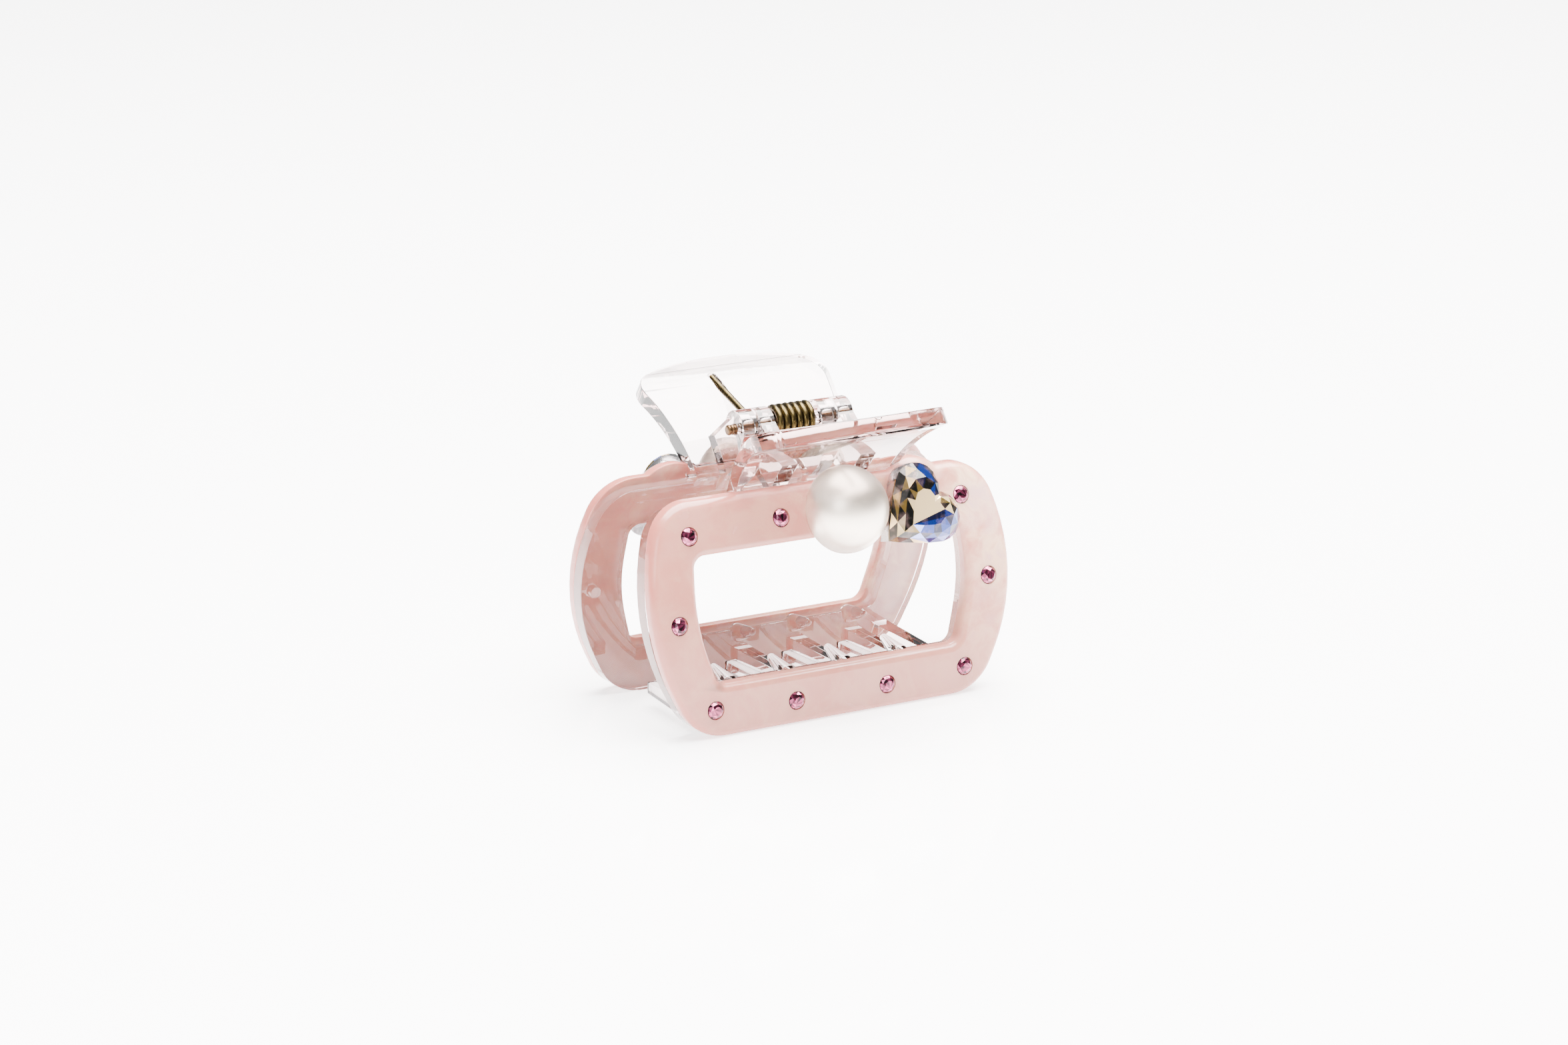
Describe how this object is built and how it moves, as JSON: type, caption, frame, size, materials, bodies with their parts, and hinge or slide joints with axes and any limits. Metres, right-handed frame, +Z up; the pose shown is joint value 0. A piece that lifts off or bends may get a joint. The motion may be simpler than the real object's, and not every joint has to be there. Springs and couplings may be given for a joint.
{
  "type": "claw clip",
  "caption": "Small hinged hair claw clip: two bowed window-frame jaws with interlocking teeth, thumb levers, a torsion spring, and pearl, heart and rhinestone trim.",
  "frame": {"origin": "on the resting plane, midway between the two jaws and midway along the hinge", "axes": "+X along the hinge pin and the clip's width, +Y from the front jaw to the rear jaw, +Z up"},
  "size_m": [0.047, 0.0372, 0.0361],
  "materials": {
    "clear_plastic": "polished, transparent pale pink",
    "pearly_acrylic": "polished, marbled pearlescent peach pink",
    "pink_rhinestone": "faceted, foil-backed, magenta pink",
    "pearl": "satin pearl lacquer",
    "setting_metal": "polished silver colour",
    "heart_crystal": "faceted, foil-backed, iridescent coating",
    "antique_brass": "antique brass plating, slightly dull"
  },
  "bodies": {
    "rear_half": {"rear_jaw": "clear_plastic", "rear_cover": "pearly_acrylic", "rear_rhinestone_1": "pink_rhinestone", "rear_rhinestone_2": "pink_rhinestone", "rear_rhinestone_3": "pink_rhinestone", "rear_rhinestone_4": "pink_rhinestone", "rear_rhinestone_5": "pink_rhinestone", "rear_rhinestone_6": "pink_rhinestone", "rear_rhinestone_7": "pink_rhinestone", "rear_rhinestone_8": "pink_rhinestone", "rear_rhinestone_9": "pink_rhinestone", "rear_pearl": "pearl", "rear_heart_setting": "setting_metal", "rear_heart_stone": "heart_crystal", "hinge_pin": "antique_brass", "torsion_spring": "antique_brass"},
    "front_half": {"front_jaw": "clear_plastic", "front_cover": "pearly_acrylic", "front_rhinestone_1": "pink_rhinestone", "front_rhinestone_2": "pink_rhinestone", "front_rhinestone_3": "pink_rhinestone", "front_rhinestone_4": "pink_rhinestone", "front_rhinestone_5": "pink_rhinestone", "front_rhinestone_6": "pink_rhinestone", "front_rhinestone_7": "pink_rhinestone", "front_rhinestone_8": "pink_rhinestone", "front_rhinestone_9": "pink_rhinestone", "front_pearl": "pearl", "front_heart_setting": "setting_metal", "front_heart_stone": "heart_crystal"}
  },
  "joints": [
    {"name": "jaw_hinge", "type": "hinge", "parent": "rear_half", "child": "front_half", "pos_m": [0, 0, 0.03195], "axis": [-1, 0, 0], "range_deg": [0, 65], "stiffness_Nm_per_rad": 0.05, "springref_deg": -51.57, "deforming": ["torsion_spring"]}
  ]
}
